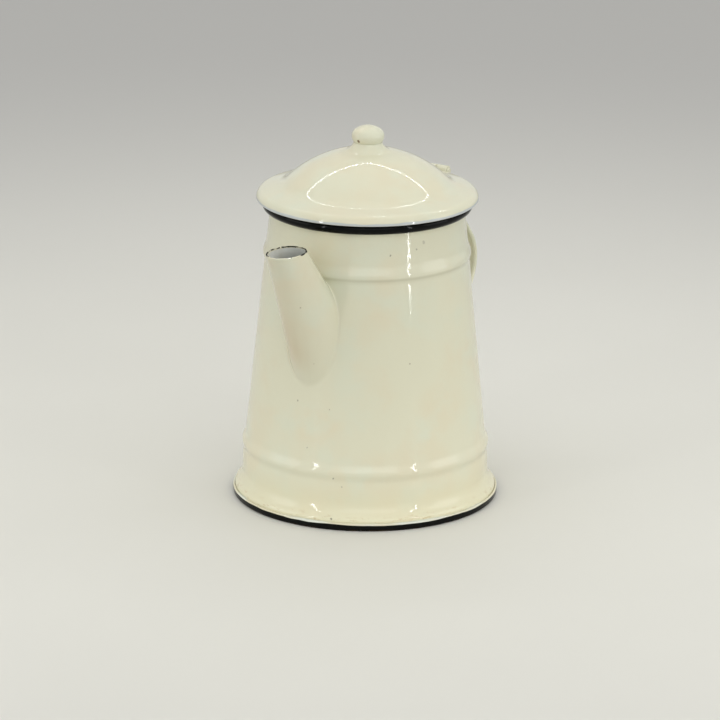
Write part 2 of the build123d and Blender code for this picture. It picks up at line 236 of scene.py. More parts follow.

# %% [markdown]
# ## The coats of the pot
# The mouth and the foot were dipped in black glass after the cream. The line where the two meet wanders
# a little, because it was wiped by hand, so the height at which the colour changes gets some noise.
# Where the cream thins out against the black, a pale line of ground coat shows, drawn whiter as a painted
# highlight. The inside is white.
# Near the foot the old glass is stained by damp, and at the spout's lip it has chipped off the iron.
# Black glass is matched to the picture with a lower specular level, as dirt dulls it in the seams.
# Most marks stand where their pattern puts them. The few that the eye finds first are placed one by one,
# each by its angle round the pot and its height.

# %% Stains and some painted light at the foot, painted shade in the crease, and specks
GROUND_LINE_Z = 3.7
FLATTENED = (1, 1, 3.5)
CREASE_Z, CREASE_HALF = 119.4, 1.3
UNROLL_R = 56.0
SPECKS_DEG_Z_SIZE_STRENGTH = (
    (-46, 131.1, 0.45, 0.5), (-30, 132.8, 0.5, 0.4), (-25, 135.6, 1.0, 0.25), (-95, 58.8, 0.5, 0.45),
    (-88, 37.3, 0.4, 0.4), (-74, 24.2, 0.45, 0.5), (-70, 20.2, 0.4, 0.35), (-74, 5.2, 0.5, 0.6))


def stains_and_painted_light_at_foot(tree, place, z, colour):
    """Yellowed glass on the skirt, a little lighter as painted bounce light, damp stains at the foot, and
    ground coat along the seam, whitened as a painted highlight.
    """
    # yellowed glass, and partly painted light: the skirt is drawn lighter towards the foot, as if lit from
    # the floor
    colour = mix(tree, ramp(tree, z, 6.0, 26.0, 0.6, 0.0), colour, linear(SKIRT_YELLOW_AND_BOUNCE))
    flat_place = add(tree, "ShaderNodeVectorMath", {
        0: place, 1: FLATTENED}, operation="MULTIPLY").outputs[0]
    blotches = ramp(tree, pattern(tree, flat_place, 5.0, 5.0, 0.65), 0.53, 0.68)
    damp = maths(tree, "MULTIPLY", ramp(tree, z, 4.0, 8.5, 0.62, 0.0), blotches)
    colour = mix(tree, damp, colour, linear(DAMP_STAIN))
    # pale ground coat along the seam, partly a painted highlight along the foot's edge
    line_z = maths(tree, "ADD", z, wander(tree, place, 14.0, 0.25))
    bare_stretches = ramp(tree, pattern(tree, place, 30.0, 2.0), 0.40, 0.60)
    ground = maths(tree, "MULTIPLY", ramp(
        tree, line_z, GROUND_LINE_Z, GROUND_LINE_Z + 0.4, 0.8, 0.0), bare_stretches)
    return mix(tree, ground, colour, linear(GROUND_COAT_AND_HIGHLIGHT))


def shaded_crease(tree, z, colour):
    """Painted shade: the dark line under the upper bead."""
    above = ramp(tree, z, CREASE_Z - CREASE_HALF, CREASE_Z)
    below = ramp(tree, z, CREASE_Z, CREASE_Z + CREASE_HALF, 0.30, 0.0)
    return mix(tree, maths(tree, "MULTIPLY", above, below), colour, linear(CREASE_SHADE))


def specked(tree, place, z, colour):
    """The wall unrolled flat, with each speck drawn on it as a small ragged spot."""
    turned_by = maths(tree, "ARCTAN2", part_of(tree, place, "Y"), part_of(tree, place, "X"))
    arc_length = maths(tree, "MULTIPLY", turned_by, UNROLL_R)
    unrolled = add(tree, "ShaderNodeCombineXYZ", {"X": arc_length, "Y": z}).outputs[0]
    ragged = maths(tree, "MULTIPLY", maths(tree, "SUBTRACT", pattern(tree, place, 0.8, 3.0), 0.5), 1.2)
    for angle_deg, height, size, strength in SPECKS_DEG_Z_SIZE_STRENGTH:
        away = distance(tree, unrolled, (radians(angle_deg) * UNROLL_R, height, 0.0))
        speck = ramp(tree, maths(tree, "ADD", away, ragged), 0.6 * size, 1.1 * size, strength, 0.0)
        colour = mix(tree, speck, colour, linear(SPECK))
    return colour


print("specks", len(SPECKS_DEG_Z_SIZE_STRENGTH))

# %% Cream body with its black mouth, and cream fittings
BLACK_FROM_Z = 141.7
body_coat, tree, shader, place = start_material("cream_vitreous_enamel_with_black_mouth")
z = part_of(tree, place, "Z")
colour = stains_and_painted_light_at_foot(tree, place, z, cream_colour(tree, place))
# painted shade: a dark line is mixed in under the upper bead
colour = specked(tree, place, z, shaded_crease(tree, z, colour))
rim_z = maths(tree, "ADD", z, wander(tree, place, 12.0, 0.25))
black = ramp(tree, rim_z, BLACK_FROM_Z - 0.08, BLACK_FROM_Z + 0.08)
tree.links.new(mix(tree, black, colour, linear(BLACK)), shader.inputs["Base Color"])
tree.links.new(ramp(tree, black, 0.0, 1.0, 0.5, BLACK_SPECULAR), shader.inputs["Specular IOR Level"])
glassy(tree, shader, place)

cream_coat, tree, shader, place = start_material("cream_vitreous_enamel")
tree.links.new(cream_colour(tree, place), shader.inputs["Base Color"])
glassy(tree, shader, place)
print("body and fittings coats done")

# %% Cream lid and knob, with the pale edge in painted shade and the chip under the knob
LID_LINE_Z = 148.0
KNOB_CHIP = (-0.7, -7.5, 175.8)
lid_coat, tree, shader, place = start_material("cream_vitreous_enamel_with_shaded_pale_edge")
edge_z = maths(tree, "ADD", part_of(tree, place, "Z"), wander(tree, place, 16.0, 0.4))
# painted shade: the thin pale glass where the lid's edge turns down is drawn grey, darker than the cream
pale = ramp(tree, edge_z, LID_LINE_Z - 0.2, LID_LINE_Z + 0.35, 1.0, 0.0)
colour = mix(tree, pale, cream_colour(tree, place), linear(PALE_EDGE_IN_SHADE))
ragged = maths(tree, "ADD", distance(tree, place, KNOB_CHIP), wander(tree, place, 0.8, 0.15))
colour = mix(tree, ramp(tree, ragged, 0.6, 0.9, 0.9, 0.0), colour, linear(RUST))
tree.links.new(colour, shader.inputs["Base Color"])
glassy(tree, shader, place, peel=0.45)
print("lid coat done")

# %% White linings
def lining_colour(tree, place):
    """White glass with faint stains."""
    stained = ramp(tree, pattern(tree, place, 14.0, 5.0), 0.42, 0.72)
    return mix(tree, stained, linear(WHITE), linear(WHITE_STAINED))


lining_coat, tree, shader, place = start_material("white_vitreous_enamel")
tree.links.new(lining_colour(tree, place), shader.inputs["Base Color"])
glassy(tree, shader, place, 0.08)

inside_coat, tree, shader, place = start_material("white_vitreous_enamel_with_black_mouth")
rim_z = maths(tree, "ADD", part_of(tree, place, "Z"), wander(tree, place, 12.0, 0.4))
black = ramp(tree, rim_z, BLACK_FROM_Z - 0.1, BLACK_FROM_Z + 0.1)
tree.links.new(mix(tree, black, lining_colour(tree, place), linear(BLACK)), shader.inputs["Base Color"])
glassy(tree, shader, place, 0.08)
print("linings done")

# %% [markdown]
# ## The spout's coat
# A tan tone is painted on towards the spout's root and on one side: it is a painted dark reflection
# along the spout's front. At the lip the glass has chipped off: the bare iron there has rusted nearly
# black and is matt. The chips come from one noise pattern, and a bias makes more of them at the back,
# on one side and at the very edge, where a spout is knocked most.

# %% Spout, and its lip with the chips
SPOUT_MOUTH_Z = 137.2
SPOUT_BACK_Y, SPOUT_FRONT_Y = -68.0, -80.0
CHIP_SIZE = 1.8
spout_coat, tree, shader, place = start_material("cream_vitreous_enamel_with_painted_reflection")
z = part_of(tree, place, "Z")
# painted reflection: a tan tone towards the spout's root and on one side
painted_reflection = maths(tree, "MULTIPLY", ramp(tree, z, 70.0, 86.0), ramp(tree, z, 84.0, 122.0, 0.55, 0.12))
painted_reflection = maths(tree, "MULTIPLY", painted_reflection, ramp(tree, part_of(tree, place, "X"), -5.0, 9.0, 1.0, 0.15))
colour = mix(tree, painted_reflection, cream_colour(tree, place), linear(TAN_REFLECTION))
tree.links.new(colour, shader.inputs["Base Color"])
glassy(tree, shader, place, peel=0.7)

lip_coat, tree, shader, place = start_material("chipped_vitreous_enamel_lip")
back = ramp(tree, part_of(tree, place, "Y"), SPOUT_FRONT_Y, SPOUT_BACK_Y, 0.0, 0.24)
side = ramp(tree, part_of(tree, place, "X"), -6.0, 1.0, 0.17, 0.0)
edge = ramp(tree, part_of(tree, place, "Z"), SPOUT_MOUTH_Z - 0.9, SPOUT_MOUTH_Z - 0.3, -0.35, 0.0)
bias = maths(tree, "ADD", maths(tree, "MAXIMUM", back, side), edge)
bare = chipped(tree, place, bias, CHIP_SIZE)
tree.links.new(mix(tree, bare, cream_colour(tree, place), linear(IRON)), shader.inputs["Base Color"])
tree.links.new(ramp(tree, bare, 0.0, 1.0, 0.06, 0.6), shader.inputs["Roughness"])
tree.links.new(ramp(tree, bare, 0.0, 1.0, 0.5, 0.15), shader.inputs["Specular IOR Level"])
shader.inputs["IOR"].default_value = ENAMEL_IOR
print("spout coats done")

# %% Black seam of the foot
BLACK_TO_Z = 2.9
black_coat, tree, shader, place = start_material("black_vitreous_enamel_foot")
z = part_of(tree, place, "Z")
rubbed = ramp(tree, pattern(tree, place, 4.0, 5.0, 0.65), 0.44, 0.62)
worn = maths(tree, "MULTIPLY", ramp(tree, z, 0.1, 1.2, 0.6, 0.0), rubbed)
bare_stretches = ramp(tree, pattern(tree, place, 30.0, 2.0), 0.40, 0.60)
# pale ground coat above the seam, partly a painted highlight along the foot's edge
above_black = mix(tree, bare_stretches, linear(CREAM_WARM), linear(GROUND_COAT_AND_HIGHLIGHT))
top_z = maths(tree, "ADD", z, wander(tree, place, 18.0, 0.35))
colour = mix(tree, worn, linear(BLACK), linear(FOOT_WEAR))
colour = mix(tree, ramp(tree, top_z, BLACK_TO_Z, BLACK_TO_Z + 0.25), colour, above_black)
tree.links.new(colour, shader.inputs["Base Color"])
glassy(tree, shader, place, 0.08, 1.6)
shader.inputs["Specular IOR Level"].default_value = BLACK_SPECULAR
print("materials", len(bpy.data.materials))

# %% [markdown]
# ## Turned sheet, with Geometry Nodes
# The body, bottom, lid, collar and knob are all round, so each is one outline turned about the
# pot's axis. Blender's Screw modifier does that too. A small geometry tree is used here because it
# has its sizes as named inputs: it makes a grid, and moves each point of the grid to the outline's
# point of the same row, turned by the column's angle.

# %% The tree that turns an outline
def new_tree(name, inputs):
    """An empty geometry tree with named inputs and one result."""
    tree = bpy.data.node_groups.new(name, "GeometryNodeTree")
    for socket_name, socket_type in inputs:
        tree.interface.new_socket(socket_name, in_out="INPUT", socket_type=socket_type)
    tree.interface.new_socket("Geometry", in_out="OUTPUT", socket_type="NodeSocketGeometry")
    return tree


MERGE_M = 0.001 * MM


def make_turn_tree():
    """Turns an outline about the upright axis: one grid column for each step round."""
    tree = new_tree("turn_outline", [
        ("Outline", "NodeSocketGeometry"),
        ("Steps round", "NodeSocketInt"),
        ("Finish", "NodeSocketMaterial")])
    given = add(tree, "NodeGroupInput").outputs
    size = add(tree, "GeometryNodeAttributeDomainSize", {"Geometry": given["Outline"]})
    rows = size.outputs["Point Count"]
    columns = maths(tree, "ADD", given["Steps round"], 1.0)
    grid = add(tree, "GeometryNodeMeshGrid", {"Vertices X": columns, "Vertices Y": rows}).outputs["Mesh"]
    index = add(tree, "GeometryNodeInputIndex").outputs[0]
    column = maths(tree, "FLOOR", maths(tree, "DIVIDE", index, rows))
    angle = maths(tree, "MULTIPLY", column, maths(tree, "DIVIDE", 2 * pi, given["Steps round"]))
    outline_point = add(tree, "GeometryNodeSampleIndex", {
        "Geometry": given["Outline"],
        "Value": add(tree, "GeometryNodeInputPosition").outputs[0],
        "Index": maths(tree, "MODULO", index, rows)}, data_type="FLOAT_VECTOR", domain="POINT").outputs[0]
    radius = part_of(tree, outline_point, "X")
    turned = add(tree, "ShaderNodeCombineXYZ", {
        "X": maths(tree, "MULTIPLY", radius, maths(tree, "COSINE", angle)),
        "Y": maths(tree, "MULTIPLY", radius, maths(tree, "SINE", angle)),
        "Z": part_of(tree, outline_point, "Z")}).outputs[0]
    shape = add(tree, "GeometryNodeSetPosition", {"Geometry": grid, "Position": turned}).outputs[0]
    shape = add(tree, "GeometryNodeMergeByDistance", {"Geometry": shape, "Distance": MERGE_M}).outputs[0]
    shape = add(tree, "GeometryNodeSetShadeSmooth", {"Geometry": shape}).outputs[0]
    shape = add(tree, "GeometryNodeRealizeInstances", {"Geometry": shape}).outputs[0]
    shape = add(tree, "GeometryNodeSetMaterial", {"Geometry": shape, "Material": given["Finish"]})
    add(tree, "NodeGroupOutput", {"Geometry": shape.outputs[0]})
    return tree


turn_tree = make_turn_tree()
print("tree", turn_tree.name, len(turn_tree.nodes), "nodes")


# %% [markdown]
# ## From a tree to a plain mesh
# A piece has to be a plain mesh in the end, so the tree is run once on a start mesh, its result is
# copied, and the modifier goes away. Edges sharper than a chosen angle stay sharp, and
# faces are turned outwards.

# %% Link and clean a mesh
SHARP = radians(40)


def link(name, mesh):
    """A new object for a mesh, in the scene."""
    piece = bpy.data.objects.new(name, mesh)
    bpy.context.collection.objects.link(piece)
    return piece


def tidy_mesh(mesh, sharp=SHARP):
    """Merges doubles, points faces outwards and shades smooth apart from sharp edges."""
    work = bmesh.new()
    work.from_mesh(mesh)
    bmesh.ops.remove_doubles(work, verts=work.verts, dist=MERGE_M)
    bmesh.ops.dissolve_degenerate(work, edges=work.edges, dist=MERGE_M)
    bmesh.ops.recalc_face_normals(work, faces=work.faces)
    work.to_mesh(mesh)
    work.free()
    for face in mesh.polygons:
        face.use_smooth = True
    mesh.set_sharp_from_angle(angle=sharp)


print("edges stay sharp from", round(degrees(SHARP)), "degrees")


# %% Run a tree and keep its result
def keep_used_finishes(mesh):
    """Leaves a mesh only the materials that its faces use, as a tree adds an empty slot of its own."""
    slots = list(mesh.materials)
    of_face = [slots[face.material_index] for face in mesh.polygons]
    mesh.materials.clear()
    order = {finish: i for i, finish in enumerate(dict.fromkeys(of_face))}
    for finish in order:
        mesh.materials.append(finish)
    for face, finish in zip(mesh.polygons, of_face):
        face.material_index = order[finish]


def run_tree(name, start_mesh, tree, values):
    """Runs a geometry tree on a mesh and returns the result as a new plain object."""
    holder = link(name + "_start", start_mesh)
    modifier = holder.modifiers.new("tree", "NODES")
    modifier.node_group = tree
    for item in tree.interface.items_tree:
        if item.in_out == "INPUT" and item.name in values:
            modifier[item.identifier] = values[item.name]
    evaluated = holder.evaluated_get(bpy.context.evaluated_depsgraph_get())
    mesh = bpy.data.meshes.new_from_object(evaluated)
    holder.modifiers.remove(modifier)
    bpy.data.objects.remove(holder)
    mesh.name = name
    keep_used_finishes(mesh)
    tidy_mesh(mesh)
    return link(name, mesh)


# %% Turn an outline of lines and arcs
def turn(name, outline_mm, finish, steps=256):
    """Turns an outline of radius and height points into a closed piece."""
    points = [(r * MM, 0.0, z * MM) for r, z in outline_mm]
    mesh = bpy.data.meshes.new(name + "_outline")
    mesh.from_pydata(points, [(i, i + 1) for i in range(len(points) - 1)], [])
    return run_tree(name, mesh, turn_tree, {"Steps round": steps, "Finish": finish})


def arc(centre, radius, start_deg, end_deg, count=12):
    """Points on an arc, from one angle to another."""
    angles = np.radians(np.linspace(start_deg, end_deg, count))
    return [(centre[0] + radius * cos(a), centre[1] + radius * sin(a)) for a in angles]


def outline(*pieces):
    """Joins runs of points into one list, leaving out points that repeat."""
    points = []
    for piece in pieces:
        for point in piece:
            if not points or (abs(point[0] - points[-1][0]) + abs(point[1] - points[-1][1])) > 1e-4:
                points.append(point)
    return points


print("a quarter arc has", len(arc((0, 0), 1, 0, 90)), "points")


# %% [markdown]
# ## The body
# One tapered sheet, spun to shape: a flared foot, a straight skirt, a rolled bead above it, a second
# bead near the top, and a mouth that is curled over a wire. The glass fills every crease and rounds
# every bend, so the sheet's radius is blurred a little along its height before it is turned: a bead
# rolled with a sharp foot comes out as a soft hump, with a dark line under it and a bright one above.
# The upper bead's hump leans down, so its lower side is the steeper one.

# %% Sizes of the body
WALL = 1.0
WALL_R, WALL_R_AT_Z, WALL_TAPER = 56.5, 46.0, 0.103


def wall_radius(z):
    """Outside radius of the plain taper at a height."""
    return WALL_R - WALL_TAPER * (z - WALL_R_AT_Z)


BEADS_Z_PROUD_LEAN = ((22.2, 1.2, 1.0), (117.4, 1.1, 0.74))
BEAD_HEIGHT = 9.0
LOW_BEAD_Z = BEADS_Z_PROUD_LEAN[0][0]
SKIRT_TOP_Z = 16.0
SKIRT_STEP = 0.5
SKIRT_R = wall_radius(LOW_BEAD_Z) + SKIRT_STEP
FLANGE_REACH = 3.65
FLANGE_R, FLANGE_FOOT_Z, FLARE_Z = SKIRT_R + FLANGE_REACH, 1.05, 4.0
FLARE_OUTER_R, FLARE_INNER_R, FLARE_ANGLE = 3.0, 8.5, 45.0
RIM_Z, CURL_R = 144.1, 2.5
GLASS_BLUR = 0.45
curl_centre = (wall_radius(RIM_Z) - WALL + CURL_R, RIM_Z)
print("wall narrows from", round(SKIRT_R, 1), "to", round(wall_radius(RIM_Z), 1), "mm")


# %% The sheet's radius, bare and glazed
def sheet_radius(z):
    """Outside radius of the bare sheet above the flare, with its beads."""
    up = np.clip((z - SKIRT_TOP_Z) / (LOW_BEAD_Z - SKIRT_TOP_Z), 0, 1)
    radius = SKIRT_R + (wall_radius(z) - SKIRT_R) * up * up * (3 - 2 * up)
    for start_z, proud, lean in BEADS_Z_PROUD_LEAN:
        share = np.clip((z - start_z) / BEAD_HEIGHT, 0, 1) ** lean
        radius = radius + proud * np.sin(pi * share) ** 2
    return radius


def glazed_radius(z):
    """The same with the glass on it, which blurs the sheet's shape."""
    offsets = np.linspace(-3, 3, 25) * GLASS_BLUR
    weights = np.exp(-0.5 * (offsets / GLASS_BLUR) ** 2)
    return sum(w * sheet_radius(z + o) for w, o in zip(weights, offsets)) / weights.sum()


bead_top_z = LOW_BEAD_Z + BEAD_HEIGHT / 2
print("lower bead stands", round(glazed_radius(bead_top_z) - wall_radius(bead_top_z), 2), "mm proud")

# %% Round the corners of an outline
SHARP_BEND = 7


def soften(points, size_mm, count=5):
    """Rounds each sharp corner of an outline with a small curve of about size_mm."""
    result = [points[0]]
    for before, corner, after in zip(points, points[1:], points[2:]):
        a, b, c = (np.array(p) for p in (before, corner, after))
        one, two = a - b, c - b
        la, lb = np.linalg.norm(one), np.linalg.norm(two)
        bend = degrees(np.arccos(np.clip(-one @ two / (la * lb), -1, 1)))
        if bend < SHARP_BEND:
            result.append(corner)
            continue
        cut = min(size_mm, 0.45 * la, 0.45 * lb)
        start, end = b + one / la * cut, b + two / lb * cut
        for t in np.linspace(0, 1, count):
            result.append(tuple((1 - t) ** 2 * start + 2 * t * (1 - t) * b + t * t * end))
    return result + [points[-1]]


print("a rounded corner has", len(soften([(0, 0), (1, 0), (1, 1)], 0.4)) - 2, "points")

# %% Body outline
skirt_centre_r = SKIRT_R + FLARE_INNER_R
flare_centre = (FLANGE_R - FLARE_OUTER_R, FLARE_Z)
flare_lean = radians(FLARE_ANGLE)
skirt_centre_z = FLARE_Z + (
    FLARE_OUTER_R + FLARE_INNER_R - (skirt_centre_r - flare_centre[0]) * cos(flare_lean)) / sin(flare_lean)
NECK_Z = 141.2


def body_side(inset, bead_points=30):
    """One side of the sheet, from the foot up to the neck, at a depth below the outside."""
    heights = list(np.linspace(SKIRT_TOP_Z, LOW_BEAD_Z - 1.7, 8))
    for start_z, _, _ in BEADS_Z_PROUD_LEAN:
        heights += list(np.linspace(start_z - 1.5, start_z + BEAD_HEIGHT + 1.5, bead_points))
        if start_z == LOW_BEAD_Z:
            heights += [start_z + BEAD_HEIGHT + step for step in (6, 20, 40, 60)]
    heights = np.array(heights + [130.0, 136.0, NECK_Z])
    return outline(
        [(FLANGE_R - inset, FLANGE_FOOT_Z)],
        arc(flare_centre, FLARE_OUTER_R - inset, 0, FLARE_ANGLE, 14),
        arc((skirt_centre_r, skirt_centre_z), FLARE_INNER_R + inset, 180 + FLARE_ANGLE, 180, 20),
        [(float(r) - inset, float(z)) for r, z in zip(glazed_radius(heights), heights)])


print("body outline points", len(body_side(0)))

# %% Turn the body
CURL_START = -118.0
UNDER_CURL_ROUND = 0.5
outside = body_side(0)
curl = arc(curl_centre, CURL_R, CURL_START, 180, 44)
neck_end = (wall_radius(curl[0][1]), curl[0][1] + 0.1)
under_curl = soften([outside[-1], neck_end, curl[0], curl[1]], UNDER_CURL_ROUND)[1:-1]
inside = body_side(WALL, 16)[::-1]
body_outline = outline(outside, under_curl, curl, inside, outside[:1])
body = turn("body", body_outline, body_coat)
body.data.materials.append(inside_coat)
for face in body.data.polygons:
    centre, normal = face.center, face.normal
    face.material_index = 1 if centre.x * normal.x + centre.y * normal.y < 0 else 0
print("body", len(body.data.polygons), "faces")

# %% [markdown]
# ## The strainer
# Behind the spout the wall is pierced with small round holes that keep the grounds back. They repeat,
# so a geometry tree places a cylinder at each hole and cuts them all out of the wall in one go.

# %% Holes behind the spout
OUTER_HOLES, MIDDLE_HOLES = 5, 4
STRAINER_SIZES = ("Hole radius", "Pitch across", "Pitch up", "Middle height", "Reach")


def make_holes_tree():
    """Cuts two columns of holes and a shorter one between them through the wall behind the spout."""
    tree = new_tree("pierce_strainer", [
        ("Wall", "NodeSocketGeometry"),
        *((size, "NodeSocketFloat") for size in STRAINER_SIZES),
        ("Finish", "NodeSocketMaterial")])
    given = add(tree, "NodeGroupInput").outputs
    outer_columns = add(tree, "GeometryNodeMeshGrid", {
        "Size X": maths(tree, "MULTIPLY", given["Pitch across"], 2.0),
        "Size Y": maths(tree, "MULTIPLY", given["Pitch up"], OUTER_HOLES - 1.0),
        "Vertices X": 2, "Vertices Y": OUTER_HOLES}).outputs[0]
    first_y = maths(tree, "MULTIPLY", given["Pitch up"], (1.0 - MIDDLE_HOLES) / 2)
    middle_column = add(tree, "GeometryNodeMeshLine", {
        "Count": MIDDLE_HOLES,
        "Start Location": add(tree, "ShaderNodeCombineXYZ", {"Y": first_y}).outputs[0],
        "Offset": add(tree, "ShaderNodeCombineXYZ", {"Y": given["Pitch up"]}).outputs[0]}).outputs[0]
    lattice = add(tree, "GeometryNodeJoinGeometry")
    for column in (outer_columns, middle_column):
        tree.links.new(column, lattice.inputs[0])
    drill = add(tree, "GeometryNodeMeshCylinder", {
        "Vertices": 24, "Radius": given["Hole radius"], "Depth": given["Reach"]}).outputs["Mesh"]
    drills = add(tree, "GeometryNodeInstanceOnPoints", {"Points": lattice.outputs[0], "Instance": drill})
    behind_spout = add(tree, "ShaderNodeCombineXYZ", {
        "Y": maths(tree, "MULTIPLY", given["Reach"], -1.0), "Z": given["Middle height"]}).outputs[0]
    lying = add(tree, "GeometryNodeTransform", {
        "Geometry": drills.outputs[0], "Rotation": (pi / 2, 0, 0), "Translation": behind_spout}).outputs[0]
    real = add(tree, "GeometryNodeRealizeInstances", {"Geometry": lying}).outputs[0]
    real = add(tree, "GeometryNodeSetMaterial", {"Geometry": real, "Material": given["Finish"]}).outputs[0]
    cut = add(tree, "GeometryNodeMeshBoolean", {0: given["Wall"], 1: real}, operation="DIFFERENCE")
    add(tree, "NodeGroupOutput", {"Geometry": cut.outputs[0]})
    return tree


pierced = run_tree("body_shell_enamel", body.data.copy(), make_holes_tree(), {
    "Hole radius": 2.0 * MM, "Pitch across": 7.5 * MM, "Pitch up": 8.0 * MM, "Middle height": 94.0 * MM,
    "Reach": 40.0 * MM, "Finish": inside_coat})
bpy.data.objects.remove(body)
print("body with holes", len(pierced.data.polygons), "faces")

# %% [markdown]
# ## The bottom and its folded seam
# The bottom is a separate disc. Its edge is folded up round the foot of the body and dipped in black.

# %% Turn the bottom
SEAM_R, SEAM_TOP_Z, SEAM_ROUND, SEAM_SHEET = 64.15, 3.2, 0.9, 1.0
DISH_R, DISH_FOOT_R, DISH_Z = 56.95, 60.25, 3.2
SLOPE_SHIFT, BOTTOM_SOFTNESS = 0.46, 0.8
LINING_INSET, UNDERSIDE_Z = 1.65, 0.5
bottom_outline = soften(outline(
    [(0, DISH_Z), (DISH_R, DISH_Z), (DISH_FOOT_R, 0.0), (SEAM_R - SEAM_ROUND, 0.0)],
    arc((SEAM_R - SEAM_ROUND, SEAM_ROUND), SEAM_ROUND, -90, 0, 8),
    [(SEAM_R, SEAM_TOP_Z)],
    arc((SEAM_R - SEAM_SHEET / 2, SEAM_TOP_Z), SEAM_SHEET / 2, 0, 180, 12),
    [(SEAM_R - SEAM_SHEET, SEAM_SHEET), (DISH_FOOT_R + SLOPE_SHIFT, SEAM_SHEET),
     (DISH_R + SLOPE_SHIFT, DISH_Z + SEAM_SHEET), (0, DISH_Z + SEAM_SHEET)]), BOTTOM_SOFTNESS)
bottom = turn("bottom_enamel", outline(bottom_outline, [(0, DISH_Z)]), black_coat)
bottom.data.materials.append(lining_coat)
for face in bottom.data.polygons:
    in_lining = face.center.xy.length < (SEAM_R - LINING_INSET) * MM
    inside_pot = in_lining and face.center.z > UNDERSIDE_Z * MM
    face.material_index = 1 if face.normal.z > 0.5 and inside_pot else 0
print("bottom", len(bottom.data.polygons), "faces")

# %% [markdown]
# ## The spout
# The spout is a straight tapered tube of egg-shaped section, cut level at its mouth and welded to the
# body at its root. Every line down its side is straight, so a row of points is found at the mouth,
# each line is followed down to where it meets the body, and the last stretch bends out into
# the wall in a small hollow curve, which is the weld filled with glass. A boolean of a tube and the
# body would give the same joint, but with a hard edge and without a clean grid of faces.

# %% Lines down the spout
SPOUT_ELEVATION = radians(59.0)
SPOUT_MOUTH_REACH = 27.6
ROOT_STATION = 72.0
SPOUT_WALL = 1.0
MOUTH_HALF_WIDTH, ROOT_HALF_WIDTH = 8.4, 17.2
MOUTH_RISE, ROOT_RISE = 10.0, 13.1
MOUTH_DROP, ROOT_DROP = 10.0, 24.6
ROOT_SHIFT = 5.7
AROUND = 160
spout_up = np.array([0.0, -cos(SPOUT_ELEVATION), sin(SPOUT_ELEVATION)])
spout_across = np.array([0.0, sin(SPOUT_ELEVATION), cos(SPOUT_ELEVATION)])
spout_mouth = np.array([0.0, -wall_radius(SPOUT_MOUTH_Z) - SPOUT_MOUTH_REACH, SPOUT_MOUTH_Z])
body_profile = np.array(outside + under_curl[:1])
body_profile = body_profile[np.argsort(body_profile[:, 1])]


def body_radius(z):
    """Outside radius of the body, with its beads, at a height."""
    return np.interp(z, body_profile[:, 1], body_profile[:, 0])


def spout_point(station, turn_angle, inset):
    """A point on the egg-shaped section at a station down the tube."""
    share = station / ROOT_STATION
    half_width = MOUTH_HALF_WIDTH + (ROOT_HALF_WIDTH - MOUTH_HALF_WIDTH) * share - inset
    if sin(turn_angle) > 0:
        depth = MOUTH_RISE + (ROOT_RISE - MOUTH_RISE) * share - inset
    else:
        depth = MOUTH_DROP + (ROOT_DROP - MOUTH_DROP) * share - inset
    aside = np.array([half_width * cos(turn_angle), 0, 0])
    return spout_mouth - spout_up * station + aside + spout_across * (
        ROOT_SHIFT * share + depth * sin(turn_angle))


print("spout mouth in mm", spout_mouth.round(1))

# %% Where a line meets the body, and the weld there
FURTHEST, STEP, HALVINGS = 150, 1.0, 40


def along(start, direction, wanted):
    """Distance from start, along a direction, at which wanted() first turns from positive to not."""
    low, high = 0.0, 0.0
    while wanted(start + direction * high) > 0 and high < FURTHEST:
        low, high = high, high + STEP
    for _ in range(HALVINGS):
        middle = (low + high) / 2
        if wanted(start + direction * middle) > 0:
            low = middle
        else:
            high = middle
    return high


def outside_body(point):
    """How far a point is outside the body's wall."""
    return np.hypot(point[0], point[1]) - body_radius(point[2])


WELD_SINK, WELD_POINTS = 0.03, 7


def weld(root, towards_mouth, wall_normal, sideways, leg, count=WELD_POINTS):
    """A small hollow curve from a tube's side out on to the body, from one point of their joint."""
    start = root + towards_mouth * leg
    out = sideways - wall_normal * (sideways @ wall_normal)
    out /= np.linalg.norm(out)
    end = root + out * leg
    radius = body_radius(end[2]) - WELD_SINK
    end[:2] *= radius / np.hypot(end[0], end[1])
    return [(1 - t) ** 2 * start + 2 * t * (1 - t) * root + t * t * end for t in np.linspace(0, 1, count)]


def body_normal(point):
    """The direction straight out of the wall at a point."""
    slope = body_radius(point[2] + 0.5) - body_radius(point[2] - 0.5)
    normal = np.array([point[0], point[1], 0.0]) / np.hypot(point[0], point[1])
    normal[2] = -slope
    return normal / np.linalg.norm(normal)


mouth_line = along(spout_mouth, -spout_up, outside_body)
print("the spout's middle line meets the body after", round(mouth_line, 1), "mm")


# %% A mesh of rows of points
def loop_faces(rows, closed=True):
    """Faces between rows of points of equal length; the rows close on themselves."""
    n = len(rows[0])
    faces = []
    count = len(rows) if closed else len(rows) - 1
    for i in range(count):
        a, b = i * n, ((i + 1) % len(rows)) * n
        faces += [(a + j, a + (j + 1) % n, b + (j + 1) % n, b + j) for j in range(n)]
    return faces


def mesh_of_rows(name, bands, closed=True):
    """A mesh of rows of points. Bands are pairs of some rows and the finish of the faces above them."""
    rows = [row for band, _ in bands for row in band]
    mesh = bpy.data.meshes.new(name)
    mesh.from_pydata([tuple(p * MM) for row in rows for p in row], [], loop_faces(rows, closed))
    of_face = []
    for i, (band, finish) in enumerate(bands):
        mesh.materials.append(finish)
        of_face += [i] * (len(band) * len(rows[0]))
    mesh.polygons.foreach_set("material_index", of_face[:len(mesh.polygons)])
    tidy_mesh(mesh)
    return link(name, mesh)


# %% [markdown]
# ## The spout's mesh
# Outside, weld, inside and lip are bands of rows that share their points, so the tube is one closed
# skin. The sheet thins towards its lip, and the lip is worn down a little more at the back.

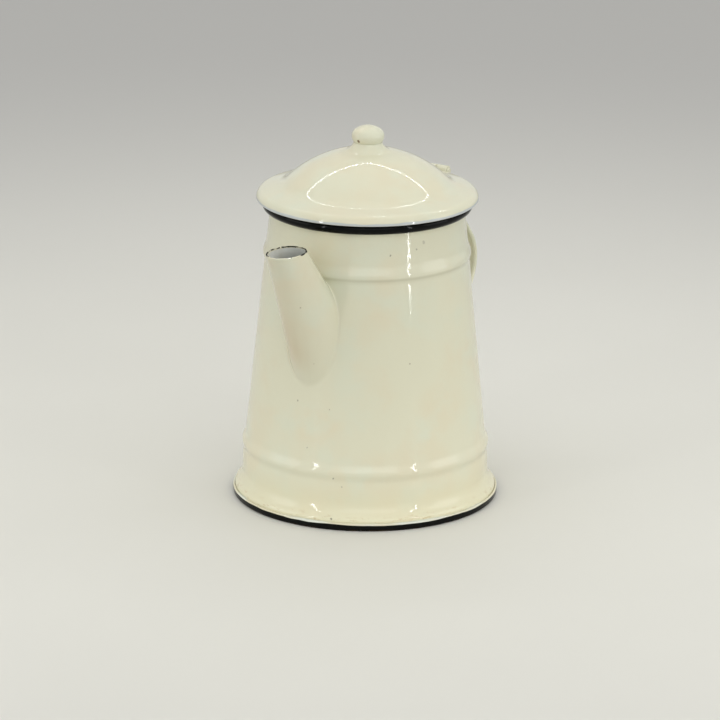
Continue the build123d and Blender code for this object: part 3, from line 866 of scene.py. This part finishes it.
# %% Lines of the spout and where they end
LOWER_STATION = 10
angles = np.linspace(0, 2 * pi, AROUND, endpoint=False)
lines = {}
for inset in (0.0, SPOUT_WALL):
    lines[inset] = []
    for a in angles:
        top, low = spout_point(0, a, inset), spout_point(LOWER_STATION, a, inset)
        direction = (low - top) / np.linalg.norm(low - top)
        top = top + direction * (SPOUT_MOUTH_Z - top[2]) / direction[2]
        lines[inset].append((top, direction, along(top, direction, outside_body)))
roots = np.array([top + direction * length for top, direction, length in lines[0.0]])
middle_root = roots.mean(axis=0)
print("spout lines", len(roots))

# %% Rows of the spout
LIP = 0.5
WELD_LEG = 1.3
LIP_FLARE, FLARE_DEPTH = 0.45, 7.0
FIRST_ROW_OUTSIDE, LAST_ROW_INSIDE = 1.4, 1.1
INSIDE_OVERLAP = 0.3
DOWN = 40
outer_rows = [[] for _ in range(DOWN + 1)]
weld_rows = [[] for _ in range(WELD_POINTS)]
inner_rows = [[] for _ in range(DOWN + 1)]
for j, (top, direction, length) in enumerate(lines[0.0]):
    root = roots[j]
    normal = body_normal(root)
    edge = roots[(j + 1) % AROUND] - roots[j - 1]
    sideways = np.cross(edge, normal)
    if sideways @ (root - middle_root) < 0:
        sideways = -sideways
    for i, t in enumerate([LIP] + list(np.linspace(FIRST_ROW_OUTSIDE, length - WELD_LEG, DOWN))):
        outer_rows[i].append(top + direction * t)
    for i, point in enumerate(weld(root, -direction, normal, sideways, WELD_LEG)):
        weld_rows[i].append(point)
for (top, direction, length), (outer_top, outer_direction, _) in zip(lines[SPOUT_WALL], lines[0.0]):
    for i, t in enumerate(list(np.linspace(length + INSIDE_OVERLAP, LAST_ROW_INSIDE, DOWN)) + [LIP]):
        thinner = LIP_FLARE * max(0.0, 1 - t / FLARE_DEPTH) ** 2
        inside_point, outside_point = top + direction * t, outer_top + outer_direction * t
        inner_rows[i].append(inside_point * (1 - thinner) + outside_point * thinner)
print("rows down the spout", len(outer_rows))

# %% Worn lip, and the spout's mesh
LIP_HEIGHT = 0.85 * LIP
LIP_WEAR, WEAR_PATCH = 0.5, 2.2
BACK_WEAR, BACK_FROM = 0.25, 4
LIP_POINTS = 9
lip_rows = []
for t in np.linspace(0, pi, LIP_POINTS)[1:-1]:
    share = (1 - cos(t)) / 2
    lip_row = []
    for inner, outer in zip(inner_rows[-1], outer_rows[0]):
        at_back = inner[1] > spout_mouth[1] + BACK_FROM
        wear = noise.noise(Vector(inner) / WEAR_PATCH) + (BACK_WEAR if at_back else 0)
        height = LIP_HEIGHT - LIP_WEAR * max(0.0, wear)
        lip_row.append(inner + (outer - inner) * share + np.array([0, 0, height * sin(t)]))
    lip_rows.append(lip_row)
spout = mesh_of_rows("spout_enamel", [
    (outer_rows[:1], lip_coat), (outer_rows[1:] + weld_rows[1:], spout_coat),
    (inner_rows[:-2], lining_coat), (inner_rows[-2:] + lip_rows, lip_coat)])
print("spout", len(spout.data.polygons), "faces")

# %% [markdown]
# ## The handle
# A strip of sheet is bent to a half-oval channel, and the channel to an ear, and both ends are welded
# to the body. Its outline is followed round the path here in the same way as the spout's.

# %% Handle path and section
HANDLE_TOP_Z = 125.3
HANDLE_HALF_WIDTH, HANDLE_DEPTH, HANDLE_SHEET, HEM_R = 10.0, 4.5, 1.1, 1.1
HEM_INSET = 0.3
HANDLE_RUNS_AND_BENDS = (
    ("run", 15.2, 0), ("bend", 20.0, 50), ("run", 12.0, 0),
    ("bend", 18.0, 65), ("bend", 60.0, 25), ("run", 34.0, 0))
BEND_STEPS, RUN_STEPS = 14, 6


def handle_path():
    """Points and headings of the path in the plane of Y and Z, from the top joint to the bottom one."""
    place = np.array([wall_radius(HANDLE_TOP_Z) - WALL, HANDLE_TOP_Z])
    heading = 0.0
    points, headings = [place], [heading]
    for kind, size, turn_deg in HANDLE_RUNS_AND_BENDS:
        steps = BEND_STEPS if kind == "bend" else RUN_STEPS
        for _ in range(steps):
            if kind == "run":
                place = place + size / steps * np.array([cos(heading), sin(heading)])
            else:
                small = radians(turn_deg) / steps
                chord = 2 * size * sin(small / 2)
                place = place + chord * np.array([cos(heading - small / 2), sin(heading - small / 2)])
                heading -= small
            points.append(place)
            headings.append(heading)
    return points, headings


OUTER_POINTS = 36


def handle_section(count=OUTER_POINTS):
    """The channel's closed outline, across and outwards, with both edges folded in to a round hem."""
    hem_x, hem_y = HANDLE_HALF_WIDTH - HEM_R - HEM_INSET, HEM_R
    start = asin(hem_y / HANDLE_DEPTH)
    outer_angles = np.linspace(start, pi - start, count)
    outer = [(HANDLE_HALF_WIDTH * cos(a), HANDLE_DEPTH * sin(a)) for a in outer_angles]
    left = arc((-hem_x, hem_y), HEM_R, 180, 360, 10)
    right = arc((hem_x, hem_y), HEM_R, -180, 0, 10)
    end = np.arccos((hem_x - HEM_R) / (HANDLE_HALF_WIDTH - HANDLE_SHEET))
    inner = [((HANDLE_HALF_WIDTH - HANDLE_SHEET) * cos(a), (HANDLE_DEPTH - HANDLE_SHEET) * sin(a))
             for a in np.linspace(pi - end, end, count)]
    return outline(outer, left, inner, right)


path_points, path_headings = handle_path()
section = handle_section()
print("handle path", len(path_points), "places, section", len(section), "points")

# %% Handle mesh, with its ends welded to the wall
handle_rows = []
for place, heading in zip(path_points, path_headings):
    out = np.array([-sin(heading), cos(heading)])
    handle_rows.append([np.array([x, *(place + out * y)]) for x, y in section])
HANDLE_WELD, HEM_WELD, HANDLE_WELD_POINTS = 1.1, 0.4, 6
END_SINK = 0.5
for end, ahead in ((0, -1), (-1, 1)):
    heading = path_headings[end]
    direction = ahead * np.array([0.0, cos(heading), sin(heading)])
    start_row = handle_rows[RUN_STEPS if end == 0 else -RUN_STEPS - 1]
    roots = np.array([p + direction * along(p, direction, outside_body) for p in start_row])
    curve_rows = [[] for _ in range(HANDLE_WELD_POINTS)]
    for j, root in enumerate(roots):
        normal = body_normal(root)
        edge = roots[(j + 1) % len(roots)] - roots[j - 1]
        sideways = np.cross(edge, normal) * (1 if end == 0 else -1)
        leg = HANDLE_WELD if j < OUTER_POINTS else HEM_WELD
        for i, point in enumerate(weld(root, -direction, normal, sideways, leg, HANDLE_WELD_POINTS)):
            curve_rows[i].append(point)
    body_side_row = [r + direction * END_SINK for r in roots]
    if end == 0:
        handle_rows = [body_side_row] + curve_rows[::-1] + handle_rows[RUN_STEPS:]
    else:
        handle_rows = handle_rows[:-RUN_STEPS] + curve_rows + [body_side_row]
handle = mesh_of_rows("handle_enamel", [(handle_rows, cream_coat)], closed=False)
print("handle", len(handle.data.polygons), "faces")

# %% [markdown]
# ## The lid
# The lid is one pressed sheet: a boss for the knob, a dome, a hollow curve into a nearly flat flange
# and a rounded edge turned down. A collar under it drops into the mouth, and the knob is a separate
# ball. The curves touch each other without a kink, because a kink in a glossy sheet breaks every
# reflection that crosses it. So only their radii are chosen, and the places where one arc goes over
# into the next are worked out. The flange's slope and the edge's radius were matched to the way the
# light bends over them.

# %% The lid's curves
LID_R, LID_EDGE_Z = 53.1957, 146.8
LID_SHEET = 1.0
EDGE_ROUND, EDGE_STRAIGHT, FLANGE_SLOPE = 4.2, 0.3, 15.0
DOME_R, DOME_TOP_Z, DOME_BLEND = 57.0, 171.0, 12.0
BOSS_WAIST_R, BOSS_TOP_Z, BOSS_BLEND = 6.5, 174.2, 6.5
STEM_R, STEM_GAP = 2.0, 0.05
flange_lean = radians(FLANGE_SLOPE)
edge_centre = (LID_R - EDGE_ROUND, LID_EDGE_Z + EDGE_STRAIGHT)
dome_centre_z = DOME_TOP_Z - DOME_R
reach = EDGE_ROUND + DOME_BLEND
start = (
    edge_centre[0] + reach * sin(flange_lean),
    edge_centre[1] + reach * cos(flange_lean) - dome_centre_z)
half_b = start[0] * cos(flange_lean) - start[1] * sin(flange_lean)
gap = start[0] ** 2 + start[1] ** 2 - (DOME_R + DOME_BLEND) ** 2
run = half_b - sqrt(half_b ** 2 - gap)
blend_centre = (start[0] - run * cos(flange_lean), start[1] + run * sin(flange_lean) + dome_centre_z)
blend_angle = degrees(atan2(blend_centre[1] - dome_centre_z, blend_centre[0]))
boss_x = BOSS_WAIST_R + BOSS_BLEND
boss_z = dome_centre_z + sqrt((DOME_R + BOSS_BLEND) ** 2 - boss_x ** 2)
boss_angle = degrees(atan2(boss_z - dome_centre_z, boss_x))


def lid_side(inset):
    """The sheet's outline from the knob's stem out to the edge, at a depth below the outside."""
    first = degrees(asin((boss_z - BOSS_TOP_Z + inset) / (BOSS_BLEND + inset)))
    return outline(
        [(STEM_R + STEM_GAP, BOSS_TOP_Z - inset)],
        arc((boss_x, boss_z), BOSS_BLEND + inset, 180 + first, 180 + boss_angle, 16),
        arc((0, dome_centre_z), DOME_R - inset, boss_angle, blend_angle, 40),
        arc(blend_centre, DOME_BLEND + inset, blend_angle + 180, 270 - FLANGE_SLOPE, 16),
        arc(edge_centre, EDGE_ROUND - inset, 90 - FLANGE_SLOPE, 0, 14))


print("dome goes over into the flange at", round(90 - blend_angle, 1), "degrees")

# %% Turn the lid and its collar
lid_outline = outline(
    lid_side(0), arc((LID_R - LID_SHEET / 2, LID_EDGE_Z + LID_SHEET / 2), LID_SHEET / 2, 0, -180, 10),
    lid_side(LID_SHEET)[::-1], lid_side(0)[:1])
lid = turn("lid_shell_enamel", lid_outline, lid_coat)
lid.data.materials.append(lining_coat)
for face in lid.data.polygons:
    face.material_index = 1 if face.normal.z < -0.2 else 0

COLLAR_R, COLLAR_SHEET, COLLAR_SEAT_Z, COLLAR_DROP = 44.1957, 0.9, 146.9, 9.0
COLLAR_GAP, COLLAR_SOFTNESS = 0.2, 0.4
collar_flange_r = LID_R - LID_SHEET - COLLAR_GAP
collar_inner_r, collar_foot_z = COLLAR_R - COLLAR_SHEET, COLLAR_SEAT_Z - COLLAR_DROP
collar_start = (collar_inner_r, collar_foot_z + 1.0)
collar = turn("lid_collar_enamel", outline(soften([
    collar_start,
    (collar_inner_r, collar_foot_z),
    (COLLAR_R, collar_foot_z),
    (COLLAR_R, COLLAR_SEAT_Z),
    (collar_flange_r, COLLAR_SEAT_Z),
    (collar_flange_r, COLLAR_SEAT_Z + COLLAR_SHEET),
    (collar_inner_r, COLLAR_SEAT_Z + COLLAR_SHEET),
    collar_start], COLLAR_SOFTNESS)), lining_coat)
print("lid", len(lid.data.polygons), "collar", len(collar.data.polygons), "faces")

# %% Turn the knob, with its stem peened inside the lid
KNOB_SEAT_Z = 174.25
KNOB_R, KNOB_FOOT, KNOB_RISE, KNOB_SHOULDER = 7.8, 3.0, 5.15, 3.9
PEEN_R, PEEN_TOP_Z, PEEN_FOOT_Z = 3.8, 173.15, 171.95
KNOB_UNDERCUT, KNOB_SOFTNESS, KNOB_STEPS = 0.3, 0.3, 96
knob_mid_z = KNOB_SEAT_Z + KNOB_FOOT
crown_r = (KNOB_R ** 2 + KNOB_RISE ** 2 - 2 * KNOB_R * KNOB_SHOULDER) / (2 * (KNOB_RISE - KNOB_SHOULDER))
shoulder_x = KNOB_R - KNOB_SHOULDER
crown_angle = degrees(atan2(crown_r - KNOB_RISE, shoulder_x))
knob_foot_r = lid_side(0)[1][0]
belly_r = ((KNOB_R - knob_foot_r) ** 2 + KNOB_FOOT ** 2) / (2 * (KNOB_R - knob_foot_r))
belly_end = -degrees(asin(KNOB_FOOT / belly_r))
knob = turn("lid_knob_enamel", outline(
    arc((0, knob_mid_z + KNOB_RISE - crown_r), crown_r, 90, crown_angle, 16),
    arc((shoulder_x, knob_mid_z), KNOB_SHOULDER, crown_angle, 0, 14),
    arc((KNOB_R - belly_r, knob_mid_z), belly_r, 0, belly_end, 10),
    soften([
        (knob_foot_r - KNOB_UNDERCUT, KNOB_SEAT_Z), (STEM_R, KNOB_SEAT_Z), (STEM_R, PEEN_TOP_Z),
        (PEEN_R, PEEN_TOP_Z), (STEM_R, PEEN_FOOT_Z), (0, PEEN_FOOT_Z)], KNOB_SOFTNESS)),
    lid_coat, KNOB_STEPS)
print("knob", len(knob.data.polygons), "faces")

# %% [markdown]
# ## The hinge
# Leaf, bracket and pin are small pieces of thicker sheet and wire under the same coat, so their edges
# are rounded by the glass. They could be bevelled edge by edge, but glass doesn't follow edges: it fills
# hollows and rounds corners alike. So their own solids are copied and remeshed finely, and a little
# smoothing then does what the coat does.

# %% Coat the hinge pieces
def coated_copy(node, name, finish, voxel_mm, rounds):
    """A fine copy of a solid's mesh with its edges rounded."""
    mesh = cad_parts[node].data.copy()
    mesh.materials.clear()
    tidy_mesh(mesh)
    piece = link(name, mesh)
    remesh = piece.modifiers.new("remesh", "REMESH")
    remesh.mode = "VOXEL"
    remesh.voxel_size = voxel_mm * MM
    smooth_edges = piece.modifiers.new("smooth", "SMOOTH")
    smooth_edges.factor = 0.5
    smooth_edges.iterations = rounds
    evaluated = piece.evaluated_get(bpy.context.evaluated_depsgraph_get())
    result = bpy.data.meshes.new_from_object(evaluated)
    piece.modifiers.clear()
    piece.data = result
    for face in result.polygons:
        face.use_smooth = True
    result.materials.clear()
    result.materials.append(finish)
    return piece


SHEET_VOXEL_MM, SHEET_ROUNDS = 0.22, 5
PIN_VOXEL_MM, PIN_ROUNDS = 0.16, 3
bracket = coated_copy("hinge_bracket", "hinge_bracket_enamel", cream_coat, SHEET_VOXEL_MM, SHEET_ROUNDS)
leaf = coated_copy("lid_leaf", "lid_leaf_enamel", cream_coat, SHEET_VOXEL_MM, SHEET_ROUNDS)
pin = coated_copy("hinge_pin", "hinge_pin_steel", cream_coat, PIN_VOXEL_MM, PIN_ROUNDS)
for piece in (bracket, leaf, pin):
    print(piece.name, len(piece.data.polygons), "faces")

# %% [markdown]
# ## Steel that hardly shows
# The wire in the curled mouth is drawn steel and is closed in by the sheet, so it keeps its own mesh
# and only gets a finish.

# %% Drawn steel
STEEL, STEEL_RUSTY = "8a8783", "5c4a3a"
steel, tree, shader, place = start_material("drawn_steel_wire")
colour = mix(tree, ramp(tree, pattern(tree, place, 2.0, 4.0), 0.4, 0.7), linear(STEEL), linear(STEEL_RUSTY))
tree.links.new(colour, shader.inputs["Base Color"])
shader.inputs["Metallic"].default_value = 1.0
tree.links.new(ramp(tree, pattern(tree, place, 1.0, 3.0), 0.3, 0.8, 0.35, 0.55), shader.inputs["Roughness"])
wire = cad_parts["rim_wire"]
wire.data.materials.clear()
wire.data.materials.append(steel)
print("wire finish", steel.name)

# %% [markdown]
# ## Riding and replacing
# Each piece is attached to the body it moves with, and the solid it stands for is hidden, so the lid
# and its fittings lift together.

# %% Attach each piece to its body and hide its solid
for piece, rides_on, node, slot in (
    (pierced, "pot", "body_shell", "cream_enamel"),
    (bottom, "pot", "base_plate", "black_enamel"),
    (spout, "pot", "spout", "cream_enamel"),
    (handle, "pot", "handle", "cream_enamel"),
    (bracket, "pot", "hinge_bracket", "cream_enamel"),
    (pin, "pot", "hinge_pin", "rim_steel"),
    (lid, "lid", "lid_shell", "cream_enamel"),
    (collar, "lid", "lid_collar", "cream_enamel"),
    (leaf, "lid", "lid_leaf", "cream_enamel"),
    (knob, "lid", "lid_knob", "cream_enamel"),
):
    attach(piece, rides_on)
    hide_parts(node)
    print(piece.name, "rides on", rides_on)

# %% [markdown]
# ## The floor
# A plain pale floor runs out of the picture on every side. Seen by the camera or in a reflection it
# fades to a greyer shade with distance, so that the pale pot stands out from what is behind it. For
# light that bounces off it on to the pot it is white close by and darker still far away, so that the
# foot of the wall is lit from below and the rest keeps its shading.

# %% Floor
FLOOR, FLOOR_FAR_BOUNCE = "e6e5e0", "91908d"
FLOOR_SEEN, FLOOR_SEEN_PATCH, FLOOR_FAR = "deddd5", "dbdad2", "b9b8b5"
PATCH_MM = 300.0
NEAR_POT_MM = 120.0
SEEN_FADE, BOUNCE_FADE = 8.0, 2.5
FLOOR_HALF_M = 6.0
corners = [(-1, -1), (1, -1), (1, 1), (-1, 1)]
floor_mesh = bpy.data.meshes.new("floor")
floor_mesh.from_pydata([(x * FLOOR_HALF_M, y * FLOOR_HALF_M, 0) for x, y in corners], [], [(0, 1, 2, 3)])
floor = link("floor", floor_mesh)
floor_paint, tree, shader, place = start_material("matt_floor_paint")
patches = ramp(tree, pattern(tree, place, PATCH_MM, 2.0), 0.3, 0.7)
away = add(tree, "ShaderNodeVectorMath", {0: place}, operation="LENGTH").outputs["Value"]
seen = mix(tree, patches, linear(FLOOR_SEEN), linear(FLOOR_SEEN_PATCH))
seen = mix(tree, ramp(tree, away, NEAR_POT_MM, SEEN_FADE * NEAR_POT_MM), seen, linear(FLOOR_FAR))
fade = ramp(tree, away, NEAR_POT_MM, BOUNCE_FADE * NEAR_POT_MM)
bounce = mix(tree, fade, linear(FLOOR), linear(FLOOR_FAR_BOUNCE))
rays = add(tree, "ShaderNodeLightPath").outputs
is_seen = maths(tree, "MAXIMUM", rays["Is Camera Ray"], rays["Is Glossy Ray"])
tree.links.new(mix(tree, is_seen, bounce, seen), shader.inputs["Base Color"])
shader.inputs["Roughness"].default_value = 0.6
floor_mesh.materials.append(floor_paint)
print("floor", 2 * FLOOR_HALF_M, "m across")

# %% [markdown]
# ## Light
# One large soft lamp hangs above, a weaker one stands in front, two small panels stand at the sides,
# and the world gives a weak fill from all round, which shows the form without hard shadows. Glass
# also needs something bright and narrow to mirror, so thin strips of small diodes stand round the
# pot, as they do in the frame of a light tent. A flat arch of four hangs overhead: the dome mirrors
# it as the upper line of the bright loop, and the hollow round the dome as the lower line. Two
# upright ones draw the streak down the wall and the points on the lower bead and the foot.

# %% A lamp
WAVE_DIM, WAVE_BRIGHT = -0.4, 0.9
DIODE_DIM, DIODE_BRIGHT = 0.2, 1.9


def lamp(name, place, aim, size, power, diodes=0, spin=0.0):
    """An area lamp. Places are metres, as seen from the camera: right, away and up."""
    data = bpy.data.lights.new(name, "AREA")
    data.shape = "RECTANGLE"
    data.size, data.size_y = size
    data.energy = power
    if diodes:
        data.use_nodes = True
        tree = data.node_tree
        surface_place = add(tree, "ShaderNodeNewGeometry").outputs["Parametric"]
        long_way = part_of(tree, surface_place, "X" if size[0] > size[1] else "Y")
        wave = maths(tree, "COSINE", maths(tree, "MULTIPLY", long_way, 2 * pi * diodes))
        strength = ramp(tree, wave, WAVE_DIM, WAVE_BRIGHT, DIODE_DIM, DIODE_BRIGHT)
        tree.links.new(strength, tree.nodes["Emission"].inputs["Strength"])
    holder = bpy.data.objects.new(name, data)
    bpy.context.collection.objects.link(holder)
    aimed = (Vector(aim) - Vector(place)).to_track_quat("-Z", "Y").to_matrix().to_4x4()
    holder.matrix_world = Matrix.Rotation(camera_turn, 4, "Z") @ Matrix.Translation(place) @ aimed @ (
        Matrix.Rotation(spin, 4, "Z"))


print("lamps are turned with the camera by", round(degrees(camera_turn), 1), "degrees")

# %% Soft boxes and the arch of strips overhead
POT_MIDDLE = (0, 0, 0.1)
lamp("top_softbox", (0.0, -0.1, 2.5), POT_MIDDLE, (4.0, 4.0), 10.1)
lamp("front_softbox", (0.2, -2.6, 1.5), POT_MIDDLE, (2.6, 1.4), 10)
ARCH_Z, ARCH_STRIP_WIDTH, ARCH_PITCH, ARCH_WATTS_PER_M = 0.6, 0.009, 0.022, 0.55
ARCH_CORNERS = ((-0.46, 0.230), (-0.17, 0.280), (0.0, 0.334), (0.17, 0.280), (0.46, 0.230))
for i, (left, right) in enumerate(zip(ARCH_CORNERS, ARCH_CORNERS[1:])):
    run_x, run_y = right[0] - left[0], right[1] - left[1]
    middle = ((left[0] + right[0]) / 2, (left[1] + right[1]) / 2)
    length = sqrt(run_x ** 2 + run_y ** 2)
    lamp("back_strip_%d" % (i + 1), (*middle, ARCH_Z), (*middle, 0), (length, ARCH_STRIP_WIDTH),
         ARCH_WATTS_PER_M * length, round(length / ARCH_PITCH), atan2(run_y, run_x))
print("strips overhead", len(ARCH_CORNERS) - 1)

# %% Upright strips, side panels and the world
UPRIGHT_AWAY, UPRIGHT_Z, UPRIGHT_SIZE, UPRIGHT_PITCH = (0.47, -0.45), 0.325, (0.024, 0.562), 0.0055
PANEL_AWAY, PANEL_Z, PANEL_SIZE = (0.9, -0.16), 0.35, (0.5, 0.6)
for name, side, power in (("left_strip", -1, 0.5), ("right_strip", 1, 0.62)):
    lamp(name, (side * UPRIGHT_AWAY[0], UPRIGHT_AWAY[1], UPRIGHT_Z), (0, 0, UPRIGHT_Z), UPRIGHT_SIZE, power,
         round(UPRIGHT_SIZE[1] / UPRIGHT_PITCH))
for name, side, power in (("left_panel", -1, 0.85), ("right_panel", 1, 1.1)):
    lamp(name, (side * PANEL_AWAY[0], PANEL_AWAY[1], PANEL_Z), POT_MIDDLE, PANEL_SIZE, power)
WORLD_COLOUR, WORLD_STRENGTH = "e8e8e6", 0.87
world = bpy.data.worlds.new("studio")
world.use_nodes = True
background = world.node_tree.nodes["Background"]
background.inputs["Color"].default_value = linear(WORLD_COLOUR)
background.inputs["Strength"].default_value = WORLD_STRENGTH
bpy.context.scene.world = world
